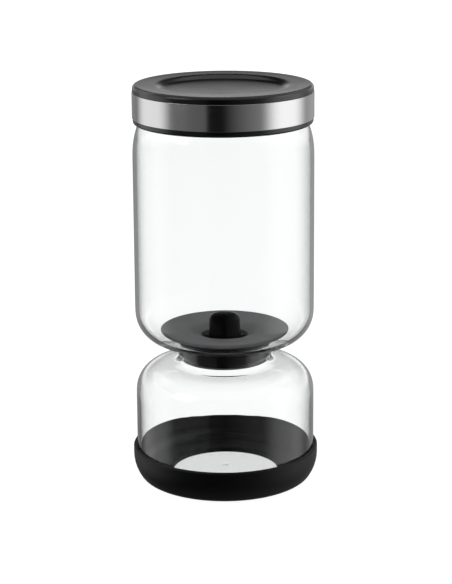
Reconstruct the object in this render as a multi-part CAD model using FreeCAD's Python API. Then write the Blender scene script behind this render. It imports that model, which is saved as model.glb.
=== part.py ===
import FreeCAD, Part

import math
import os

# Pickle keeper: an hourglass jar of borosilicate glass in a silicone foot, with a push-on lid
# and a lift strainer in its throat.  Millimetres, +Z up, origin on the table under the jar's
# axis.  All pieces are turned about that axis; the knob's arms and the sieve's holes are not.

# ---------------------------------------------------------------- driving dimensions
# Jar: one piece of glass tube, necked in the middle and closed below. It is held as two
# solids that meet in the middle of its throat, so that each is one simple vessel.
GLASS_RADIUS = 53.7          # outside of both chambers
GLASS_WALL = 2.2
GLASS_FLOOR = 2.7            # thickness of the closed end
LOWER_HEIGHT = 68.7          # closed end to the top of the lower chamber, outside
THROAT_HEIGHT = 13.3         # between the two chambers, outside
UPPER_HEIGHT = 146.0         # underside of the upper chamber to the rim
THROAT_RADIUS = 28.0         # outside of the throat
THROAT_ROUNDING = 4.0        # outside rounding where the throat meets a chamber
HEEL_ROUNDING = 9.0          # outside corner of the closed end
HEEL_INNER_ROUNDING = 5.0
LOWER_SHOULDER = 16.8        # outside corner at the top of the lower chamber
UPPER_HEEL = 19.5            # outside corner at the bottom of the upper chamber
MOUTH_DRAW_IN = 4.7          # how far the jar narrows to its mouth
MOUTH_HEIGHT = 10.0          # straight part below the rim
MOUTH_ROUNDING = 6.0
SHOULDER_RISE = 11.2         # height over which the jar draws in
SHOULDER_ROUNDING = 44.0
RIM_ROUNDING = 1.05          # fire-polished lip
PIP_RADIUS = 3.0             # sealing mark in the middle of the floor
PIP_HEIGHT = 0.2
PIP_ROUNDING = 8.0

# Foot: silicone cup pulled over the jar's closed end.
FOOT_WALL = 2.0
FOOT_HEIGHT = 20.2
FOOT_FLOOR = 3.0
FOOT_GAP = 0.3               # foot to glass
FOOT_WINDOW_RADIUS = 32.0    # round window in the foot's floor
FOOT_BELLY_HEIGHT = 8.5      # where the side starts to turn in
FOOT_BELLY_DEPTH = 5.5       # how far it turns in
FOOT_BELLY_ROUNDING = 22.0
FOOT_HEEL_ROUNDING = 6.0
FOOT_CORNER_EASE = 0.5       # its inner corner is this much tighter than the glass heel
FOOT_RIM_ROUNDING = 1.1
FOOT_EDGE_ROUNDING = 0.45

# Lift knob: hollow grip on arms that end in a ring, clipped round the strainer's drain.
KNOB_HEIGHT = 8.1            # above the dish rim
KNOB_TOP_RADIUS = 9.0
KNOB_FOOT_RADIUS = 9.7
KNOB_TOP_ROUNDING = 2.6
KNOB_WALL = 2.0
KNOB_ARM_COUNT = 4
KNOB_ARM_WIDTH = 3.2
KNOB_ARM_DEPTH = 1.8         # below the drain's collar
KNOB_ARM_STEP = 0.4          # arm's top below the drain edge
KNOB_ARM_RISE = 3.4          # how far an arm climbs the grip
KNOB_ARM_ROUNDING = 3.0
KNOB_RING_WALL = 1.4
KNOB_RING_GRIP = 1.3         # ring's height on the collar

# Strainer dish: funnel plate over the throat, with a collar round its drain and a stem tube.
DISH_RADIUS = 38.7
DISH_RIM_HEIGHT = 5.7        # rim above the upper chamber's floor
DISH_RIM_THICKNESS = 2.2
DISH_RIM_ROUNDING = 0.7
DISH_FALL = 1.6              # rim down to the hip
DISH_HIP_ROUNDING = 13.0
FUNNEL_WIDTH = 7.0           # hip to the drain edge
FUNNEL_FALL = 2.8
DISH_SKIN = 2.0
DRAIN_GAP = 4.3              # drain edge to the grip
DRAIN_EDGE_ROUNDING = 0.6
COLLAR_WALL = 1.2
COLLAR_DEPTH = 2.6
TUBE_WALL = 2.0
TUBE_BEAD = 0.6              # bead that keeps the seal on the tube
TUBE_BEAD_HEIGHT = 1.2
TUBE_END_RISE = 1.7          # tube's end above the lower chamber's top

# Sieve: punched steel disc snapped into the tube's end.
SIEVE_THICKNESS = 0.6
SIEVE_LEDGE = 0.9            # step in the tube that the sieve lies against
SIEVE_BEAD = 0.5             # snap bead below the sieve
SIEVE_HOLE_RADIUS = 0.9
SIEVE_PITCH = 3.1
SIEVE_MARGIN = 0.5           # plain rim inside the ledge

# Neck seal: ribbed silicone sleeve on the tube.
NECK_SEAL_WALL = 1.1
NECK_SEAL_GAP = 0.3          # ribs and lip to glass
NECK_SEAL_LIP = 3.5          # lip beyond the sleeve, lying in the throat's rounding
NECK_SEAL_LIP_ROUNDING = 0.5
NECK_RIB_COUNT = 2
NECK_RIB_HEIGHT = 1.3
NECK_RIB_PITCH = 3.0
NECK_RIB_DEPTH = 0.55

# Lid: cap and base moulded in plastic, a steel band between them, a lip seal inside.
LID_RIM_GAP = 1.0            # web above the jar's rim
LID_WEB = 1.6
LID_HEADROOM = 3.3           # web up to the cap
LID_SKIRT_GAP = 0.35         # skirt to the jar's shoulder
LID_SKIRT_WALL = 2.2
LID_LIP_HEIGHT = 3.5         # lip that shows under the band
LID_LIP_STEP = 0.2           # lip beyond the band's inside
LID_LIP_ROUNDING = 1.7
BAND_HEIGHT = 15.3
BAND_THICKNESS = 0.65
BAND_EDGE_ROUNDING = 0.15
CAP_SIDE_HEIGHT = 4.3
CAP_INSET = 0.3              # cap's side inside the band's
CAP_SKIN = 2.2
CAP_EDGE_ROUNDING = 1.4
CAP_FOOT_ROUNDING = 0.3
CAP_RECESS_INSET = 13.8      # recess edge inside the cap's side
CAP_RECESS_WALL = 6.5        # width of the recess's sloping wall
CAP_RECESS_DEPTH = 2.9
CAP_RECESS_ROUNDING = 5.0
CAP_RIB_WALL = 1.8           # rib that centres the cap in the skirt
PLUG_WALL = 1.8
PLUG_DEPTH = 10.0            # below the jar's rim
PLUG_BEAD = 1.0
PLUG_BEAD_HEIGHT = 2.2
LID_SEAL_WALL = 0.8
LID_SEAL_GAP = 0.3           # fins and flange to glass
LID_FIN_COUNT = 3
LID_FIN_REACH = 0.9
LID_FIN_THICKNESS = 0.9
LID_FIN_PITCH = 2.5
LID_FIN_ROUNDING = 0.3

FIT = 0.15                   # between pieces of one assembly
SNAP = 0.3                   # where one piece clips or stops on another

# ---------------------------------------------------------------- places worked out from them
glass_inner = GLASS_RADIUS - GLASS_WALL
throat_inner = THROAT_RADIUS - GLASS_WALL
throat_inner_rounding = THROAT_ROUNDING + GLASS_WALL
mouth_radius = GLASS_RADIUS - MOUTH_DRAW_IN
mouth_inner = mouth_radius - GLASS_WALL
shoulder_lean = math.atan2(MOUTH_DRAW_IN, SHOULDER_RISE)
corner_limit = GLASS_RADIUS - THROAT_RADIUS - THROAT_ROUNDING
lower_shoulder = min(LOWER_SHOULDER, corner_limit)
upper_heel = min(UPPER_HEEL, corner_limit)
z_glass = FOOT_FLOOR
z_lower_floor = z_glass + GLASS_FLOOR
z_lower_top = z_glass + LOWER_HEIGHT
z_upper_bottom = z_lower_top + THROAT_HEIGHT
z_throat = (z_lower_top + z_upper_bottom) / 2
z_upper_floor = z_upper_bottom + GLASS_WALL
z_rim = z_upper_bottom + UPPER_HEIGHT
z_mouth = z_rim - MOUTH_HEIGHT
z_shoulder = z_mouth - SHOULDER_RISE

foot_inner = GLASS_RADIUS + FOOT_GAP
foot_radius = foot_inner + FOOT_WALL

drain_radius = KNOB_FOOT_RADIUS + DRAIN_GAP
collar_radius = drain_radius + COLLAR_WALL
hip_radius = drain_radius + FUNNEL_WIDTH
seal_radius = throat_inner - NECK_SEAL_GAP
lip_radius = seal_radius + NECK_SEAL_LIP
tube_radius = seal_radius - NECK_SEAL_WALL
tube_inner = tube_radius - TUBE_WALL
sieve_seat = tube_inner + SIEVE_LEDGE
z_dish_rim = z_upper_floor + DISH_RIM_HEIGHT
z_hip = z_dish_rim - DISH_FALL
z_drain = z_hip - FUNNEL_FALL
z_collar = z_drain - COLLAR_DEPTH
z_plate_under = z_hip - DISH_SKIN
z_tube = z_lower_top + TUBE_END_RISE
z_sieve = z_tube + 2 * SIEVE_BEAD
z_sieve_top = z_sieve + SIEVE_THICKNESS
z_knob = z_dish_rim + KNOB_HEIGHT
z_arm_under = z_collar - SNAP - KNOB_ARM_DEPTH

z_web = z_rim + LID_RIM_GAP
z_web_top = z_web + LID_WEB
z_band_top = z_web_top + LID_HEADROOM
z_band = z_band_top - BAND_HEIGHT
z_lip = z_band - LID_LIP_HEIGHT
z_cap = z_band_top + CAP_SIDE_HEIGHT
z_plug = z_rim - PLUG_DEPTH


def shoulder_radius(height):
    """Outside radius of the jar where its side draws in, or a little more above the bend."""
    bend_start = z_shoulder - SHOULDER_ROUNDING * math.tan(shoulder_lean / 2)
    rise = min(max(height - bend_start, 0.0), SHOULDER_ROUNDING * math.sin(shoulder_lean))
    return GLASS_RADIUS - SHOULDER_ROUNDING + math.sqrt(SHOULDER_ROUNDING ** 2 - rise ** 2)


skirt_inner = shoulder_radius(z_lip) + LID_SKIRT_GAP
skirt_radius = skirt_inner + LID_SKIRT_WALL
band_inner = skirt_radius + FIT
band_radius = band_inner + BAND_THICKNESS
cap_radius = band_radius - CAP_INSET
recess_radius = cap_radius - CAP_RECESS_INSET
recess_floor_radius = recess_radius - CAP_RECESS_WALL
fin_tip = mouth_inner - LID_SEAL_GAP
lid_seal_radius = fin_tip - LID_FIN_REACH
lid_seal_inner = lid_seal_radius - LID_SEAL_WALL
plug_radius = lid_seal_inner - FIT


# ---------------------------------------------------------------- outlines
def rounding_reach(places, roundings):
    """How far each corner's rounding reaches along its two sides. Where two roundings are
    more than the side between them, both give way."""
    count = len(places)
    reach = []
    for i, place in enumerate(places):
        back = places[i - 1] - place
        ahead = places[(i + 1) % count] - place
        half = back.getAngle(ahead) / 2
        reach.append(roundings[i] / math.tan(half))
    for i in range(count):
        following = (i + 1) % count
        side = places[i].distanceToPoint(places[following])
        share = min(1.0, 0.999 * side / max(reach[i] + reach[following], side * 0.001))
        reach[i] *= share
        reach[following] *= share
    return reach


def section(corners):
    """Face in the XZ plane. A corner is (radius, height) or (radius, height, rounding)."""
    places = [FreeCAD.Vector(corner[0], 0, corner[1]) for corner in corners]
    roundings = [corner[2] if len(corner) == 3 else 0.0 for corner in corners]
    reach = rounding_reach(places, roundings)
    edges = []
    for i, place in enumerate(places):
        following = (i + 1) % len(places)
        back = (places[i - 1] - place).normalize()
        ahead = (places[following] - place).normalize()
        end = place + ahead * reach[i]
        if reach[i]:
            half = back.getAngle(ahead) / 2
            rounding = reach[i] * math.tan(half)
            crown = (back + ahead).normalize() * (rounding / math.sin(half) - rounding)
            edges.append(Part.Arc(place + back * reach[i], place + crown, end))
        edges.append(Part.LineSegment(end, places[following] - ahead * reach[following]))
    return Part.Face(Part.Wire([edge.toShape() for edge in edges]))


def turned(corners):
    """Solid of revolution about Z."""
    return section(corners).revolve(FreeCAD.Vector(0, 0, 0), FreeCAD.Vector(0, 0, 1), 360)


def spun_copies(shape, count):
    """Copies of a shape, evenly spaced about Z."""
    copies = []
    for number in range(count):
        copy = shape.copy()
        copy.rotate(FreeCAD.Vector(0, 0, 0), FreeCAD.Vector(0, 0, 1), 360 * number / count)
        copies.append(copy)
    return copies


# ---------------------------------------------------------------- jar and foot
def make_glass_lower():
    """Closed chamber up to the middle of the throat: its outside up, then its inside down."""
    return turned([
        (0, z_glass),
        (GLASS_RADIUS, z_glass, HEEL_ROUNDING),
        (GLASS_RADIUS, z_lower_top, lower_shoulder),
        (THROAT_RADIUS, z_lower_top, THROAT_ROUNDING),
        (THROAT_RADIUS, z_throat),
        (throat_inner, z_throat),
        (throat_inner, z_lower_top - GLASS_WALL, throat_inner_rounding),
        (glass_inner, z_lower_top - GLASS_WALL, lower_shoulder - GLASS_WALL),
        (glass_inner, z_lower_floor, HEEL_INNER_ROUNDING),
        (PIP_RADIUS, z_lower_floor, PIP_ROUNDING),
        (0, z_lower_floor + PIP_HEIGHT),
    ])


def make_glass_upper():
    """Open chamber from the middle of the throat to the drawn-in mouth."""
    mouth_shift = GLASS_WALL * math.tan(shoulder_lean / 2)
    return turned([
        (throat_inner, z_throat),
        (THROAT_RADIUS, z_throat),
        (THROAT_RADIUS, z_upper_bottom, THROAT_ROUNDING),
        (GLASS_RADIUS, z_upper_bottom, upper_heel),
        (GLASS_RADIUS, z_shoulder, SHOULDER_ROUNDING),
        (mouth_radius, z_mouth, MOUTH_ROUNDING),
        (mouth_radius, z_rim, RIM_ROUNDING),
        (mouth_inner, z_rim, RIM_ROUNDING),
        (mouth_inner, z_mouth - mouth_shift, MOUTH_ROUNDING + GLASS_WALL),
        (glass_inner, z_shoulder - mouth_shift, SHOULDER_ROUNDING - GLASS_WALL),
        (glass_inner, z_upper_floor, upper_heel - GLASS_WALL),
        (throat_inner, z_upper_floor, throat_inner_rounding),
    ])


def make_foot():
    """Silicone cup with a bellied side and a round window in its floor."""
    return turned([
        (FOOT_WINDOW_RADIUS, 0, FOOT_EDGE_ROUNDING),
        (foot_radius - FOOT_BELLY_DEPTH, 0, FOOT_HEEL_ROUNDING),
        (foot_radius, FOOT_BELLY_HEIGHT, FOOT_BELLY_ROUNDING),
        (foot_radius, FOOT_HEIGHT, FOOT_RIM_ROUNDING),
        (foot_inner, FOOT_HEIGHT, FOOT_EDGE_ROUNDING),
        (foot_inner, FOOT_FLOOR, HEEL_ROUNDING - FOOT_CORNER_EASE),
        (FOOT_WINDOW_RADIUS, FOOT_FLOOR, FOOT_EDGE_ROUNDING),
    ])


# ---------------------------------------------------------------- strainer
def make_strainer_dish():
    """Plate, funnel, collar and tube in one moulding; the outline runs inwards along the top,
    down the collar, out under the funnel, down the tube and back up its outside."""
    return turned([
        (DISH_RADIUS, z_dish_rim, DISH_RIM_ROUNDING),
        (hip_radius, z_hip, DISH_HIP_ROUNDING),
        (drain_radius, z_drain, DRAIN_EDGE_ROUNDING),
        (drain_radius, z_collar),
        (collar_radius, z_collar),
        (collar_radius, z_drain - DISH_SKIN / 2),
        (tube_inner, z_plate_under),
        (tube_inner, z_sieve_top),
        (sieve_seat, z_sieve_top),
        (sieve_seat, z_sieve - FIT),
        (sieve_seat - SIEVE_BEAD, z_sieve - FIT - SIEVE_BEAD),
        (sieve_seat, z_tube),
        (tube_radius + TUBE_BEAD, z_tube, TUBE_BEAD / 2),
        (tube_radius + TUBE_BEAD, z_tube + TUBE_BEAD_HEIGHT),
        (tube_radius, z_tube + TUBE_BEAD_HEIGHT),
        (tube_radius, z_plate_under),
        (lip_radius + SNAP, z_plate_under, DISH_SKIN),
        (DISH_RADIUS, z_dish_rim - DISH_RIM_THICKNESS, DISH_RIM_ROUNDING),
    ])


def make_neck_seal():
    """Sleeve with ribs for the straight of the throat and a lip for its upper rounding."""
    inner = tube_radius + FIT
    bottom = z_tube + TUBE_BEAD_HEIGHT + FIT
    top = z_plate_under - FIT
    lip_bottom = z_upper_floor - throat_inner_rounding
    land = seal_radius - NECK_RIB_DEPTH
    lowest_rib = z_throat - NECK_RIB_PITCH * (NECK_RIB_COUNT - 1) / 2
    corners = [(inner, top), (inner, bottom), (land, bottom)]
    for rib in range(NECK_RIB_COUNT):
        rib_bottom = lowest_rib + rib * NECK_RIB_PITCH - NECK_RIB_HEIGHT / 2
        corners += [
            (land, rib_bottom),
            (seal_radius, rib_bottom, NECK_RIB_DEPTH / 2),
            (seal_radius, rib_bottom + NECK_RIB_HEIGHT, NECK_RIB_DEPTH / 2),
            (land, rib_bottom + NECK_RIB_HEIGHT),
        ]
    corners += [(land, lip_bottom), (lip_radius, lip_bottom),
                (lip_radius, top, NECK_SEAL_LIP_ROUNDING)]
    throat_bead = Part.makeTorus(
        throat_inner + throat_inner_rounding,
        throat_inner_rounding + NECK_SEAL_GAP,
        FreeCAD.Vector(0, 0, lip_bottom),
    )
    return turned(corners).cut(throat_bead)


def make_lift_knob():
    """Grip, open below, on arms that pass under the collar to a ring around it."""
    bore = KNOB_FOOT_RADIUS - KNOB_WALL
    grip = turned([
        (0, z_knob),
        (KNOB_TOP_RADIUS, z_knob, KNOB_TOP_ROUNDING),
        (KNOB_FOOT_RADIUS, z_drain),
        (KNOB_FOOT_RADIUS, z_arm_under),
        (bore, z_arm_under),
        (bore, z_drain),
        (KNOB_TOP_RADIUS - KNOB_WALL, z_knob - KNOB_WALL, KNOB_TOP_ROUNDING / 2),
        (0, z_knob - KNOB_WALL),
    ])
    ring_inner = collar_radius + FIT
    ring = turned([
        (ring_inner, z_arm_under),
        (ring_inner + KNOB_RING_WALL, z_arm_under),
        (ring_inner + KNOB_RING_WALL, z_collar + KNOB_RING_GRIP),
        (ring_inner, z_collar + KNOB_RING_GRIP),
    ])
    arm_top = z_drain - KNOB_ARM_STEP
    root = KNOB_FOOT_RADIUS - KNOB_WALL / 2
    reach = ring_inner + KNOB_RING_WALL / 2
    arm = section([
        (root, z_arm_under),
        (reach, z_arm_under),
        (reach, z_collar - SNAP),
        (drain_radius - SNAP, z_collar - SNAP),
        (drain_radius - SNAP, arm_top),
        (KNOB_FOOT_RADIUS, arm_top, KNOB_ARM_ROUNDING),
        (KNOB_TOP_RADIUS, arm_top + KNOB_ARM_RISE),
        (root, arm_top + KNOB_ARM_RISE),
    ]).extrude(FreeCAD.Vector(0, KNOB_ARM_WIDTH, 0))
    arm.translate(FreeCAD.Vector(0, -KNOB_ARM_WIDTH / 2, 0))
    return grip.fuse([ring] + spun_copies(arm, KNOB_ARM_COUNT)).removeSplitter()


def make_sieve_disc():
    """Steel disc with a hole in its middle and more in rings about it."""
    axis = FreeCAD.Vector(0, 0, 1)
    disc = Part.makeCylinder(sieve_seat - FIT, SIEVE_THICKNESS, FreeCAD.Vector(0, 0, z_sieve))
    ring_count = int((tube_inner - SIEVE_MARGIN - SIEVE_HOLE_RADIUS) / SIEVE_PITCH)
    middle = FreeCAD.Vector(0, 0, z_sieve)
    holes = [Part.makeCylinder(SIEVE_HOLE_RADIUS, SIEVE_THICKNESS, middle, axis)]
    for ring in range(1, ring_count + 1):
        place = FreeCAD.Vector(ring * SIEVE_PITCH, 0, z_sieve)
        hole = Part.makeCylinder(SIEVE_HOLE_RADIUS, SIEVE_THICKNESS, place, axis)
        holes += spun_copies(hole, int(2 * math.pi * ring))
    return disc.cut(Part.makeCompound(holes))


# ---------------------------------------------------------------- lid
def make_lid_cap():
    """Top shell with a finger recess, and a rib inside the skirt."""
    rib_outer = skirt_inner - FIT
    rib_bottom = z_web_top + SNAP
    under = z_cap - CAP_SKIN
    return turned([
        (0, z_cap - CAP_RECESS_DEPTH),
        (recess_floor_radius, z_cap - CAP_RECESS_DEPTH, CAP_RECESS_ROUNDING),
        (recess_radius, z_cap, CAP_RECESS_ROUNDING),
        (cap_radius, z_cap, CAP_EDGE_ROUNDING),
        (cap_radius, z_band_top, CAP_FOOT_ROUNDING),
        (rib_outer, z_band_top),
        (rib_outer, rib_bottom),
        (rib_outer - CAP_RIB_WALL, rib_bottom),
        (rib_outer - CAP_RIB_WALL, under),
        (recess_radius, under, CAP_RECESS_ROUNDING - CAP_SKIN),
        (recess_floor_radius, under - CAP_RECESS_DEPTH, CAP_RECESS_ROUNDING + CAP_SKIN),
        (0, under - CAP_RECESS_DEPTH),
    ])


def make_steel_band():
    """Brushed sleeve held between the cap and the base's lip."""
    return turned([
        (band_inner, z_band),
        (band_radius, z_band, BAND_EDGE_ROUNDING),
        (band_radius, z_band_top, BAND_EDGE_ROUNDING),
        (band_inner, z_band_top),
    ])


def make_lid_base():
    """Closed plug for the mouth, web over the rim, and a skirt with the lip at its foot."""
    plug_inner = plug_radius - PLUG_WALL
    lip = band_inner + LID_LIP_STEP
    return turned([
        (0, z_plug),
        (plug_radius + PLUG_BEAD, z_plug, PLUG_BEAD / 2),
        (plug_radius + PLUG_BEAD, z_plug + PLUG_BEAD_HEIGHT),
        (plug_radius, z_plug + PLUG_BEAD_HEIGHT),
        (plug_radius, z_web),
        (skirt_inner, z_web),
        (skirt_inner, z_lip, LID_SKIRT_GAP),
        (lip, z_lip, LID_LIP_ROUNDING),
        (lip, z_band),
        (skirt_radius, z_band),
        (skirt_radius, z_band_top),
        (skirt_inner, z_band_top),
        (skirt_inner, z_web_top),
        (plug_inner, z_web_top),
        (plug_inner, z_plug + PLUG_WALL, PLUG_WALL),
        (0, z_plug + PLUG_WALL),
    ])


def make_lid_seal():
    """Sleeve on the plug, with fins towards the mouth's wall and a flange over the rim."""
    bottom = z_plug + PLUG_BEAD_HEIGHT + FIT
    corners = [(lid_seal_inner, z_web), (lid_seal_inner, bottom), (lid_seal_radius, bottom)]
    for fin in range(LID_FIN_COUNT):
        fin_bottom = bottom + LID_FIN_THICKNESS / 2 + fin * LID_FIN_PITCH
        corners += [
            (lid_seal_radius, fin_bottom),
            (fin_tip, fin_bottom, LID_FIN_ROUNDING),
            (fin_tip, fin_bottom + LID_FIN_THICKNESS, LID_FIN_ROUNDING),
            (lid_seal_radius, fin_bottom + LID_FIN_THICKNESS),
        ]
    flange_under = z_rim + LID_SEAL_GAP
    corners += [(lid_seal_radius, flange_under), (mouth_radius, flange_under),
                (mouth_radius, z_web)]
    return turned(corners)


# ---------------------------------------------------------------- write the pieces
PIECES = {
    "foot": make_foot,
    "glass_lower": make_glass_lower,
    "glass_upper": make_glass_upper,
    "strainer_dish": make_strainer_dish,
    "neck_seal": make_neck_seal,
    "lift_knob": make_lift_knob,
    "sieve_disc": make_sieve_disc,
    "lid_cap": make_lid_cap,
    "steel_band": make_steel_band,
    "lid_base": make_lid_base,
    "lid_seal": make_lid_seal,
}

os.makedirs("parts", exist_ok=True)
for name, make in PIECES.items():
    piece = make()
    piece.exportStep(f"parts/{name}.step")
    box = piece.optimalBoundingBox(False)
    print(f"{name}: {len(piece.Solids)} solid, {piece.Volume:.0f} mm3, valid {piece.isValid()}, "
          f"radius {box.XMax:.2f}, z {box.ZMin:.2f} to {box.ZMax:.2f}")
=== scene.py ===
import bpy
import bmesh
import math
from mathutils import Matrix, Vector


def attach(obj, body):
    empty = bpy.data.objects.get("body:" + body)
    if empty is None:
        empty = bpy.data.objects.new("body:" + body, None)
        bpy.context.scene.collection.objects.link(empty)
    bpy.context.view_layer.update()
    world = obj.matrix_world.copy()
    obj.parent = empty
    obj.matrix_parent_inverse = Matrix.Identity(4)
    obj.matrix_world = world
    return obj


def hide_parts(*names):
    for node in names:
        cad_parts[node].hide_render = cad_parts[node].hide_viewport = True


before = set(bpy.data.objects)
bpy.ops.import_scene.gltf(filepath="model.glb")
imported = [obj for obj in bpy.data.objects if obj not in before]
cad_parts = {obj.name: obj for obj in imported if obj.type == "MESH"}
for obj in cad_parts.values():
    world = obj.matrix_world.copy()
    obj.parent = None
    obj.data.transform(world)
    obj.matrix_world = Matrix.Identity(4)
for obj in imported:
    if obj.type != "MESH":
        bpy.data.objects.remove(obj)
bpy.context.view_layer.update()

# ---------------------------------------------------------------- foot
# Black silicone cup that is stretched over the jar's closed end so it stands soft and quiet.
# It is compression moulded in one piece, with a bellied side and a round window in its floor,
# and it holds on by its own stretch.
MM = 0.001
FACETS = 192                     # sides of a round piece
ARC_STEP = math.radians(7)       # widest step along a rounded corner
SHARP = math.radians(32)         # edges bent more than this stay crisp
WELD = 0.002 * MM                # points closer than this become one
EASED_STEP = 2 * MM              # widest step along an outline whose bends are eased
EASING_PASSES = 5


def turned(name, corners, eased=None):
    """Piece that is round about the jar's axis. A corner is (radius, height) or
    (radius, height, rounding), in millimetres, and the outline closes on itself or on the axis.
    Outside a radius and below a height, if given, bends are eased together as a flame does."""
    outline = bmesh.new()
    places = [Vector((corner[0], 0, corner[1])) * MM for corner in corners]
    first = last = None
    for number, corner in enumerate(corners):
        place = places[number]
        start = end = outline.verts.new(place)
        if len(corner) == 3:
            back = (places[number - 1] - place).normalized()
            ahead = (places[(number + 1) % len(places)] - place).normalized()
            half = back.angle(ahead) / 2
            rounding = corner[2] * MM
            centre = place + (back + ahead).normalized() * (rounding / math.sin(half))
            start.co = place + back * (rounding / math.tan(half))
            finish = place + ahead * (rounding / math.tan(half))
            turn = math.pi - 2 * half
            arc = bmesh.ops.spin(
                outline, geom=[start], cent=centre, angle=turn,
                axis=(start.co - centre).cross(finish - centre).normalized(),
                steps=max(3, round(turn / ARC_STEP)), use_duplicate=False,
            )
            end = next(part for part in arc["geom_last"] if isinstance(part, bmesh.types.BMVert))
        if last:
            outline.edges.new((last, start))
        first = first or start
        last = end
    if corners[0][0] > 0:
        outline.edges.new((last, first))
    if eased:
        for edge in outline.edges[:]:
            bmesh.ops.subdivide_edges(outline, edges=[edge],
                                      cuts=int(edge.calc_length() / EASED_STEP))
        soft = [v for v in outline.verts if v.co.x > eased[0] * MM and v.co.z < eased[1] * MM]
        for _ in range(EASING_PASSES):
            bmesh.ops.smooth_vert(outline, verts=soft, factor=0.5,
                                  use_axis_x=True, use_axis_y=True, use_axis_z=True)
    bmesh.ops.spin(
        outline, geom=outline.verts[:] + outline.edges[:], cent=(0, 0, 0), axis=(0, 0, 1),
        angle=2 * math.pi, steps=FACETS, use_merge=True, use_duplicate=False,
    )
    return finished(name, outline)


def finished(name, shape):
    """Closes a shape's seams, turns it right side out, and puts it in the scene."""
    bmesh.ops.remove_doubles(shape, verts=shape.verts[:], dist=WELD)
    bmesh.ops.recalc_face_normals(shape, faces=shape.faces[:])
    mesh = bpy.data.meshes.new(name)
    shape.to_mesh(mesh)
    shape.free()
    mesh.shade_smooth()
    mesh.set_sharp_from_angle(angle=SHARP)
    piece = bpy.data.objects.new(name, mesh)
    bpy.context.scene.collection.objects.link(piece)
    flats = piece.modifiers.new("flat faces shade flat", "WEIGHTED_NORMAL")
    flats.keep_sharp = True
    return piece


def colour(code):
    """Linear colour of an sRGB hex code."""
    parts = [int(code[i:i + 2], 16) / 255 for i in (1, 3, 5)]
    return [p / 12.92 if p <= 0.04045 else ((p + 0.055) / 1.055) ** 2.4 for p in parts] + [1.0]


def feed(tree, node, inputs):
    """Gives a node's inputs, keyed by name or number, values or other nodes' outputs."""
    for key, given in inputs.items():
        if isinstance(given, bpy.types.NodeSocket):
            tree.links.new(given, node.inputs[key])
        else:
            node.inputs[key].default_value = given


def add(tree, kind, inputs=None, **options):
    """New node with its options set and its inputs fed."""
    node = tree.nodes.new(kind)
    for key, option in options.items():
        setattr(node, key, option)
    feed(tree, node, inputs or {})
    return node


def noise(tree, place, width, detail=2.0, roughness=0.5):
    """Soft pattern from 0 to 1 with blots of about the given width."""
    return add(tree, "ShaderNodeTexNoise",
               {"Vector": place, "Scale": 1 / width, "Detail": detail,
                "Roughness": roughness}).outputs["Fac"]


def remap(tree, value, low, high, start=0.0, end=1.0, **options):
    """Value that goes from low to high while the given one goes from start to end."""
    return add(tree, "ShaderNodeMapRange",
               {"Value": value, "From Min": start, "From Max": end, "To Min": low,
                "To Max": high}, **options).outputs["Result"]


def tint(tree, share, first, second):
    """Colour that goes from one hex code to another while the share goes from 0 to 1."""
    return add(tree, "ShaderNodeMix", {0: share, 6: colour(first), 7: colour(second)},
               data_type="RGBA").outputs[2]


def bump(tree, pattern, strength, distance):
    """Surface direction of a skin that rises and falls with a pattern."""
    return add(tree, "ShaderNodeBump", {"Height": pattern, "Strength": strength,
                                        "Distance": distance}).outputs["Normal"]


def material(name, **uniform):
    """New material with its shader, and the object's own coordinates for patterns."""
    made = bpy.data.materials.new(name)
    made.use_nodes = True
    tree = made.node_tree
    tree.nodes.clear()
    shader = add(tree, "ShaderNodeBsdfPrincipled",
                 {key.replace("_", " "): value for key, value in uniform.items()})
    add(tree, "ShaderNodeOutputMaterial", {"Surface": shader.outputs["BSDF"]})
    place = add(tree, "ShaderNodeTexCoord").outputs["Object"]
    return made, tree, shader, place


foot = turned("silicone_foot", [
    (32, 0, 0.45),
    (50.5, 0, 6),
    (56, 8.5, 22),
    (56, 20.2, 1.1),
    (54, 20.2, 0.45),
    (54, 3, 8.5),
    (32, 3, 0.45),
])

# Silicone rubber from a blasted mould: a dull black that never mirrors, and turns grey
# where light grazes its fine skin. The 0.3 mm grain is drawn at 0.7 mm to show at all.
silicone, tree, shader, place = material(
    "silicone_moulded_matt", IOR=1.41, Specular_IOR_Level=0.26, Sheen_Weight=0.04,
    Sheen_Roughness=0.4,
)
grain = noise(tree, place, 0.7 * MM)
handling = noise(tree, place, 16 * MM, detail=3.0)
feed(tree, shader, {
    "Base Color": tint(tree, handling, "#070709", "#0c0c0f"),
    "Roughness": remap(tree, handling, 0.42, 0.56),
    "Normal": bump(tree, grain, 0.25, 0.03 * MM),
})
foot.data.materials.append(silicone)

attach(foot, "foot")
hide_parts("foot")

# ---------------------------------------------------------------- jar
# Hourglass jar, one length of 2.2 mm borosilicate tube: closed below, necked over a flame
# to its throat, drawn in at the mouth and fire-polished. It stands in the foot.
jar = turned("glass_jar", [
    (0, 3),
    (53.7, 3, 9),
    (53.7, 71.7, 16.8),
    (28, 71.7, 4),
    (28, 85, 4),
    (53.7, 85, 19.5),
    (53.7, 209.8, 44),
    (49, 221, 6),
    (49, 231, 1.05),
    (46.8, 231, 1.05),
    (46.8, 220.557, 8.2),
    (51.5, 209.357, 41.8),
    (51.5, 87.2, 17.3),
    (25.8, 87.2, 6.2),
    (25.8, 69.5, 6.2),
    (51.5, 69.5, 14.6),
    (51.5, 5.7, 5),
    (3, 5.7, 8),
    (0, 5.9),
], eased=(34, 225))

# Borosilicate glass, drawn and flame-worked: colourless, with a mirror skin that swells a
# little where the flame softened it, so reflections bend slightly along the walls.
glass, tree, shader, place = material(
    "borosilicate_flame_worked", Base_Color=colour("#feffff"), Roughness=0.0, IOR=1.473,
    Transmission_Weight=1.0,
)
swell = noise(tree, place, 34 * MM, detail=1.0)
feed(tree, shader, {"Normal": bump(tree, swell, 0.5, 0.05 * MM)})
jar.data.materials.append(glass)
jar.visible_shadow = False       # lamps shine through clear glass

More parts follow.
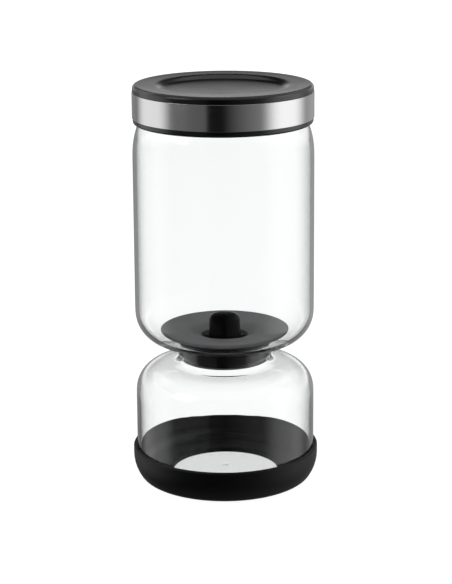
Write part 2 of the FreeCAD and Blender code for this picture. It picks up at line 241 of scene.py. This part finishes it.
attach(jar, "jar")
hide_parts("glass_lower", "glass_upper")

# ---------------------------------------------------------------- strainer dish
# Funnel plate that carries the pickles over the throat, with a collar round its drain and
# the stem tube that goes down the throat. One injection moulding; it lifts out by its knob.
dish = turned("strainer_dish_moulding", [
    (38.7, 92.9, 0.7),
    (21, 91.3, 13),
    (14, 88.5, 0.6),
    (14, 85.9),
    (15.2, 85.9),
    (15.2, 87.5),
    (22.4, 89.3),
    (22.4, 75),
    (23.3, 75),
    (23.3, 74.25),
    (22.8, 73.75),
    (23.3, 73.4),
    (25, 73.4, 0.3),
    (25, 74.6),
    (24.4, 74.6),
    (24.4, 89.3),
    (29.3, 89.3, 2),
    (38.7, 90.7, 0.7),
])

# Polypropylene from a spark-eroded mould: a dry dark grey with a fine pebbled skin and the
# faint clouds where the melt cooled unevenly. The 0.4 mm pebble is drawn at 0.8 mm.
plate_plastic, tree, shader, place = material("polypropylene_spark_eroded", IOR=1.49)
pebble = noise(tree, place, 0.8 * MM)
cloud = noise(tree, place, 11 * MM, detail=4.0, roughness=0.6)
feed(tree, shader, {
    "Base Color": tint(tree, cloud, "#676769", "#838384"),
    "Roughness": remap(tree, cloud, 0.5, 0.66),
    "Normal": bump(tree, pebble, 0.35, 0.05 * MM),
})
dish.data.materials.append(plate_plastic)

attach(dish, "strainer")
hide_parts("strainer_dish")

# ---------------------------------------------------------------- neck seal
# Silicone sleeve on the stem tube. Two ribs lie squeezed flat on the straight of the throat,
# 0.05 mm into the glass so that no air shows between, and a lip fills its upper rounding.
neck_seal = turned("neck_seal_sleeve", [
    (24.55, 89.15),
    (24.55, 74.75),
    (24.95, 74.75),
    (24.95, 76.7, 0.3),
    (25.85, 76.9, 0.4),
    (25.85, 80.4, 0.3),
    (25.1, 80.6, 0.2),
    (25.1, 81, 0.2),
    (25.85, 81.2, 0.3),
    (25.85, 84.74, 6.15),
    (28.99, 86.37),
    (28.99, 89.15, 0.5),
])

# Silicone rubber from a polished mould: black, wet from the wiped glass that it seals on,
# with the slow ripple that soft rubber takes when it is squeezed.
seal_rubber, tree, shader, place = material(
    "silicone_moulded_polished", Base_Color=colour("#070708"), IOR=1.41, Coat_Weight=1.0,
    Coat_Roughness=0.05,
)
ripple = noise(tree, place, 5 * MM)
feed(tree, shader, {
    "Roughness": remap(tree, ripple, 0.08, 0.14),
    "Normal": bump(tree, ripple, 0.5, 0.06 * MM),
})
neck_seal.data.materials.append(seal_rubber)

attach(neck_seal, "strainer")
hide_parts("neck_seal")

# ---------------------------------------------------------------- lift knob
# Hollow finger grip on four arms that pass under the drain's collar to a ring clipped round
# it, so brine runs down past the grip. Injection moulded in glossy plastic.
ARMS = 4
ARM_WIDTH = 3.2
ARM_OUTLINE = [                  # radius and height
    (8.7, 83.8),
    (16.05, 83.8),
    (16.05, 85.6),
    (13.7, 85.6),
    (13.7, 88.1),
    (9.7, 88.1),
    (9, 91.5),
    (8.7, 91.5),
]
ELBOW = 5                        # the outline's corner where the arm's top meets the grip
ELBOW_ROUNDING = 1.5
knob = turned("lift_knob_moulding", [
    (0, 101),
    (9, 101, 2.6),
    (9.7, 88.5),
    (9.7, 83.8, 0.3),
    (7.7, 83.8, 0.3),
    (7.7, 88.5),
    (7, 99, 1.3),
    (0, 99),
])
ring = turned("knob_ring", [
    (15.35, 83.8, 0.25),
    (16.75, 83.8, 0.25),
    (16.75, 87.2, 0.25),
    (15.35, 87.2, 0.25),
])

arms_shape = bmesh.new()
arm_side = [arms_shape.verts.new(Vector((radius, -ARM_WIDTH / 2, height)) * MM)
            for radius, height in ARM_OUTLINE]
arms_shape.faces.new(arm_side)
bmesh.ops.bevel(arms_shape, geom=[arm_side[ELBOW]], offset=ELBOW_ROUNDING * MM, segments=6,
                profile=0.5, affect="VERTICES", material=-1)
thick = bmesh.ops.extrude_face_region(arms_shape, geom=arms_shape.faces[:])
bmesh.ops.translate(
    arms_shape, vec=(0, ARM_WIDTH * MM, 0),
    verts=[part for part in thick["geom"] if isinstance(part, bmesh.types.BMVert)])
bmesh.ops.spin(arms_shape, geom=arms_shape.verts[:] + arms_shape.edges[:] + arms_shape.faces[:],
               cent=(0, 0, 0), axis=(0, 0, 1), angle=2 * math.pi * (ARMS - 1) / ARMS,
               steps=ARMS - 1, use_duplicate=True)
arms = finished("knob_arms", arms_shape)

knob.modifiers.clear()
for other in (ring, arms):
    joined = knob.modifiers.new("moulded in one with " + other.name, "BOOLEAN")
    joined.operation = "UNION"
    joined.solver = "EXACT"
    joined.object = other
bpy.context.view_layer.update()
whole = bpy.data.meshes.new_from_object(
    knob.evaluated_get(bpy.context.evaluated_depsgraph_get()))
knob.modifiers.clear()
for other in (ring, arms):
    bpy.data.objects.remove(other)
knob.data = whole
whole.name = "lift_knob_moulding"
whole.shade_smooth()
whole.set_sharp_from_angle(angle=SHARP)
edge_ease = knob.modifiers.new("eased edges", "BEVEL")
edge_ease.width = 0.18 * MM
edge_ease.segments = 2
edge_ease.angle_limit = math.radians(50)
edge_ease.harden_normals = True

# ABS from a polished mould: a deep gloss black that shows only the lamps, with a trace of
# orange peel so their edges waver.
gloss_plastic, tree, shader, place = material(
    "abs_polished_black", Base_Color=colour("#030303"), IOR=1.46, Specular_IOR_Level=0.3,
)
peel = noise(tree, place, 2.5 * MM)
feed(tree, shader, {
    "Roughness": remap(tree, peel, 0.08, 0.14),
    "Normal": bump(tree, peel, 0.3, 0.02 * MM),
})
knob.data.materials.clear()
knob.data.materials.append(gloss_plastic)

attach(knob, "strainer")
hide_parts("lift_knob")

# ---------------------------------------------------------------- sieve
# Punched disc snapped into the tube's end under a small bead. Stamped from 0.6 mm stainless
# sheet, so the solid from the CAD model is already its true shape.

# Stainless sheet, cold rolled: grey metal with fine straight roll lines. Lines 0.05 mm
# apart are drawn 0.25 mm apart.
sheet_steel, tree, shader, place = material(
    "stainless_rolled_sheet", Base_Color=colour("#bdbcb9"), Metallic=1.0,
)
rolled = add(tree, "ShaderNodeMapping",
             {"Vector": place, "Scale": (1 / (30 * MM), 1 / (0.25 * MM), 1.0)})
lines = noise(tree, rolled.outputs["Vector"], 1.0, detail=3.0)
feed(tree, shader, {"Roughness": remap(tree, lines, 0.26, 0.42)})
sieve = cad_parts["sieve_disc"]
sieve.data.materials.clear()
sieve.data.materials.append(sheet_steel)

# ---------------------------------------------------------------- lid base
# The lid's working half: a closed plug that drops into the mouth, a web over the rim, and a
# skirt round the jar with a lip at its foot. Injection moulded; the cap snaps into it.
lid_base = turned("lid_base_moulding", [
    (0, 221),
    (45.65, 221, 0.5),
    (45.65, 223.2),
    (44.65, 223.2),
    (44.65, 232),
    (50.622, 232),
    (50.622, 218.1, 0.35),
    (53.172, 218.1, 1.7),
    (53.172, 221.6),
    (52.822, 221.6),
    (52.822, 236.9),
    (50.622, 236.9),
    (50.622, 233.6),
    (42.85, 233.6),
    (42.85, 222.8, 1.8),
    (0, 222.8),
])

# ABS from a fine-blasted mould: satin black that smears a lamp into a soft sheen and shows
# a very fine grain. The 0.2 mm grain is drawn at 0.6 mm.
lid_plastic, tree, shader, place = material("abs_satin_black", IOR=1.5)
grain = noise(tree, place, 0.6 * MM)
handling = noise(tree, place, 22 * MM, detail=3.0)
feed(tree, shader, {
    "Base Color": tint(tree, handling, "#0b0b0c", "#101011"),
    "Roughness": remap(tree, handling, 0.2, 0.27),
    "Normal": bump(tree, grain, 0.2, 0.02 * MM),
})
lid_base.data.materials.append(lid_plastic)

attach(lid_base, "lid")
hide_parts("lid_base")

# ---------------------------------------------------------------- lid seal
# Silicone sleeve on the plug, of the neck seal's rubber. Three fins press on the mouth's wall
# and a flange lies over the rim; a bead on the plug keeps it on.
FIN_HEIGHT = 0.9
fins = []
for bottom in (223.8, 226.3, 228.8):
    fins += [(45.6, bottom), (46.5, bottom, 0.3), (46.5, bottom + FIN_HEIGHT, 0.3),
             (45.6, bottom + FIN_HEIGHT)]
lid_seal = turned("lid_seal_sleeve", [
    (44.8, 232),
    (44.8, 223.35),
    (45.6, 223.35),
    *fins,
    (45.6, 231.3),
    (49, 231.3, 0.3),
    (49, 232),
])
lid_seal.data.materials.append(seal_rubber)

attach(lid_seal, "lid")
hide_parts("lid_seal")

# ---------------------------------------------------------------- steel band
# Sleeve of stainless strip between the cap and the lip. Drawn without a seam, then brushed
# round and round; its cut edges are barely eased.
band = turned("brushed_band", [
    (52.972, 221.6),
    (53.622, 221.6, 0.15),
    (53.622, 236.9, 0.15),
    (52.972, 236.9),
])

# Brushed stainless: hairlines run round the band, so lamps stretch up and down it and keep
# sharp sides. Lines 0.05 mm apart are drawn 0.3 mm apart.
band_steel, tree, shader, place = material(
    "stainless_brushed_round", Base_Color=colour("#c4c4c4"), Metallic=1.0, Anisotropic=0.85,
    Anisotropic_Rotation=0.25,
)
wound = add(tree, "ShaderNodeMapping",
            {"Vector": place, "Scale": (1 / (60 * MM), 1 / (60 * MM), 1 / (0.3 * MM))})
hairlines = noise(tree, wound.outputs["Vector"], 1.0, detail=4.0, roughness=0.7)
direction = add(tree, "ShaderNodeTangent", direction_type="RADIAL", axis="Z")
feed(tree, shader, {
    "Roughness": remap(tree, hairlines, 0.16, 0.3),
    "Normal": bump(tree, hairlines, 0.25, 0.01 * MM),
    "Tangent": direction.outputs["Tangent"],
})
band.data.materials.append(band_steel)

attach(band, "lid")
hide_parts("steel_band")

# ---------------------------------------------------------------- lid cap
# The lid's top shell, dished by half a millimetre, with a shallow recess for a fingertip.
# Injection moulded in the same satin plastic; a rib inside the skirt centres it.
cap = turned("lid_cap_moulding", [
    (0, 238.05),
    (10, 238.08, 120),
    (20, 238.22, 120),
    (34.4, 238.6, 7),
    (38.4, 240.72, 9),
    (46, 240.9, 90),
    (53.322, 241.2, 2.1),
    (53.322, 236.9, 0.3),
    (50.472, 236.9),
    (50.472, 233.9),
    (48.672, 233.9),
    (48.672, 239),
    (39.522, 239, 2.8),
    (33.022, 236.1, 7.2),
    (0, 236.1),
])
cap.data.materials.append(lid_plastic)

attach(cap, "lid")
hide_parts("lid_cap")

# ---------------------------------------------------------------- floor
# Plain pale table top, lit a little from below so it stays white in the distance. Light that
# has already bounced off the object finds it dark, as if black cards lay round the object.
GLASS_RELIEF = 0.2               # share of that dimming which light bent back in glass is spared
GLOW, FAR_GLOW = 0.95, 1.1       # light from below near the object and beyond the lamps
GLOW_STEP = (1.1, 1.3)           # distances in metres between which it rises
floor_shape = bmesh.new()
bmesh.ops.create_circle(floor_shape, cap_ends=True, segments=96, radius=3.0)
floor = finished("floor", floor_shape)
floor.modifiers.clear()


def calculate(tree, operation, *values, clamp=False):
    """Result of a sum on values or other nodes' outputs."""
    return add(tree, "ShaderNodeMath", dict(enumerate(values)), operation=operation,
               use_clamp=clamp).outputs["Value"]


floor_paint, tree, shader, place = material(
    "floor_matt_white", Roughness=0.9, Emission_Color=colour("#ffffff"),
)
path = add(tree, "ShaderNodeLightPath").outputs
across_floor = add(tree, "ShaderNodeSeparateXYZ", {0: place}).outputs
far_side = remap(tree, across_floor["Y"], 0.0, GLASS_RELIEF, end=0.3)
through_glass = calculate(tree, "MINIMUM", path["Transmission Depth"], 1.0)
spared = calculate(tree, "MULTIPLY", far_side, through_glass)
dimmed = calculate(tree, "SUBTRACT", 1.0, spared)
mirrored = calculate(tree, "MINIMUM", path["Glossy Depth"], dimmed)
bounced = calculate(tree, "ADD", path["Diffuse Depth"], mirrored, clamp=True)
away = add(tree, "ShaderNodeVectorMath", {0: place}, operation="LENGTH").outputs["Value"]
full_glow = remap(tree, away, GLOW, FAR_GLOW, *GLOW_STEP)
feed(tree, shader, {
    "Base Color": tint(tree, bounced, "#7c7c7c", "#303030"),
    "Emission Strength": remap(tree, bounced, full_glow, 0.0),
})
floor.data.materials.append(floor_paint)
floor.visible_glossy = False

# ---------------------------------------------------------------- studio
# White all round for whatever is seen directly or through clear glass. Light that bounced
# comes from a dim room: behind the object a grey table and a low white backdrop glow up to
# a little above the horizon, a grey wall stands to the right, and the table glows dimly
# where it is looked down on steeply.
SEEN_DIRECTLY = 1.15             # light strength of everything that is seen directly
BACKDROP = 0.95                  # light strengths of the dim room's parts
WALL = 0.31
STEEP_TABLE = 0.22
world = bpy.data.worlds.new("studio")
bpy.context.scene.world = world
world.use_nodes = True
world.cycles.sampling_method = "NONE"
tree = world.node_tree
tree.nodes.clear()
looking = add(tree, "ShaderNodeTexCoord").outputs["Generated"]
toward = add(tree, "ShaderNodeSeparateXYZ", {0: looking}).outputs
behind = remap(tree, toward["Y"], 0.0, 1.0, start=0.4, end=0.85)
backdrop = remap(tree, toward["Z"], BACKDROP, 0.0, start=0.1, end=0.25)
table_share = remap(tree, toward["Z"], 0.3, 1.0, start=-0.06, end=0.02)
pale = calculate(tree, "MULTIPLY", backdrop, table_share)
pale_behind = calculate(tree, "MULTIPLY", behind, pale)
wall = remap(tree, toward["X"], 0.0, WALL, end=0.85)
below = remap(tree, toward["Z"], 0.0, STEEP_TABLE, start=-0.6, end=-0.9)
sides = calculate(tree, "ADD", pale_behind, wall)
room = calculate(tree, "ADD", sides, below)
path = add(tree, "ShaderNodeLightPath").outputs
bounced = calculate(tree, "ADD", path["Diffuse Depth"], path["Glossy Depth"], clamp=True)
strength = add(tree, "ShaderNodeMix", {0: bounced, 2: SEEN_DIRECTLY, 3: room},
               data_type="FLOAT")
surroundings = add(tree, "ShaderNodeBackground",
                   {"Color": colour("#ffffff"), "Strength": strength.outputs[0]})
add(tree, "ShaderNodeOutputWorld", {"Surface": surroundings.outputs["Background"]})

LAMP_AIM = Vector((0, 0, 0.12))  # the jar's middle, in metres


def lamp(name, bearing, elevation, width, height, brightness, distance=1.3, fade=0.0):
    """Soft lamp that faces the jar. Its bearing is in degrees to the right of the front, its
    sizes are in metres, and fade is the share of its half width over which it dims sideways."""
    turn, rise = math.radians(bearing), math.radians(elevation)
    light = bpy.data.lights.new(name, "AREA")
    light.shape = "RECTANGLE"
    light.size, light.size_y = width, height
    light.energy = brightness * math.pi * width * height
    if fade:
        light.use_nodes = True
        front = light.node_tree
        front.nodes.clear()
        spot = add(front, "ShaderNodeNewGeometry").outputs["Parametric"]
        across = add(front, "ShaderNodeSeparateXYZ", {0: spot}).outputs["X"]
        aside = calculate(front, "ABSOLUTE", calculate(front, "SUBTRACT", across, 0.5))
        cloth = add(front, "ShaderNodeEmission", {"Strength": remap(
            front, aside, 1.0, 0.0, start=0.5 * (1 - fade), end=0.5,
            interpolation_type="SMOOTHSTEP")})
        add(front, "ShaderNodeOutputLight", {"Surface": cloth.outputs["Emission"]})
    stand = bpy.data.objects.new(name, light)
    stand.location = Vector((math.sin(turn) * math.cos(rise), -math.cos(turn) * math.cos(rise),
                             math.sin(rise))) * distance + LAMP_AIM
    stand.rotation_euler = (math.pi / 2 - rise, 0, turn)
    stand.visible_camera = False
    stand.visible_transmission = False
    bpy.context.scene.collection.objects.link(stand)


lamp("left_strip", -100, 0, 2.05, 1.6, 1.3, fade=0.75)
lamp("left_card", -42.75, 0, 1.1, 1.6, 0.15)
lamp("left_window", -62, 32, 0.6, 0.5, 2.6)
lamp("right_strip", 87, 0, 2.2, 1.6, 1.35, fade=0.8)
lamp("right_window", 88, 32, 0.5, 0.5, 1.2)
lamp("left_rear", -135, 33, 0.9, 0.5, 0.9)
lamp("right_rear", 135, 33, 0.9, 0.5, 0.5)
lamp("overhead", 180, 90, 4.3, 4.3, 0.6, distance=1.9)

# ---------------------------------------------------------------- camera
# Long lens a little above the object. It is tilted down and shifted as well, so the jar's
# sides close in only slightly towards the foot.
ELEVATION = math.radians(15.12)
DISTANCE = 1.118                 # metres
AIM = Vector((0.0012, 0, 0.1147))
ROLL = math.radians(0.4)
LENS = 114.7                     # millimetres, as is the sensor
SENSOR = 36
SHIFT = 0.1                      # share of the sensor
camera = bpy.data.objects.new("camera", bpy.data.cameras.new("camera"))
camera.data.lens = LENS
camera.data.shift_y = -SHIFT
camera.location = AIM + Vector((0, -math.cos(ELEVATION), math.sin(ELEVATION))) * DISTANCE
pitch = math.pi / 2 - ELEVATION + math.atan(SHIFT * SENSOR / LENS)
aimed = Matrix.Rotation(pitch, 3, "X") @ Matrix.Rotation(-ROLL, 3, "Z")
camera.rotation_euler = aimed.to_euler()
bpy.context.scene.collection.objects.link(camera)
bpy.context.scene.camera = camera
bpy.context.scene.view_settings.view_transform = "Standard"
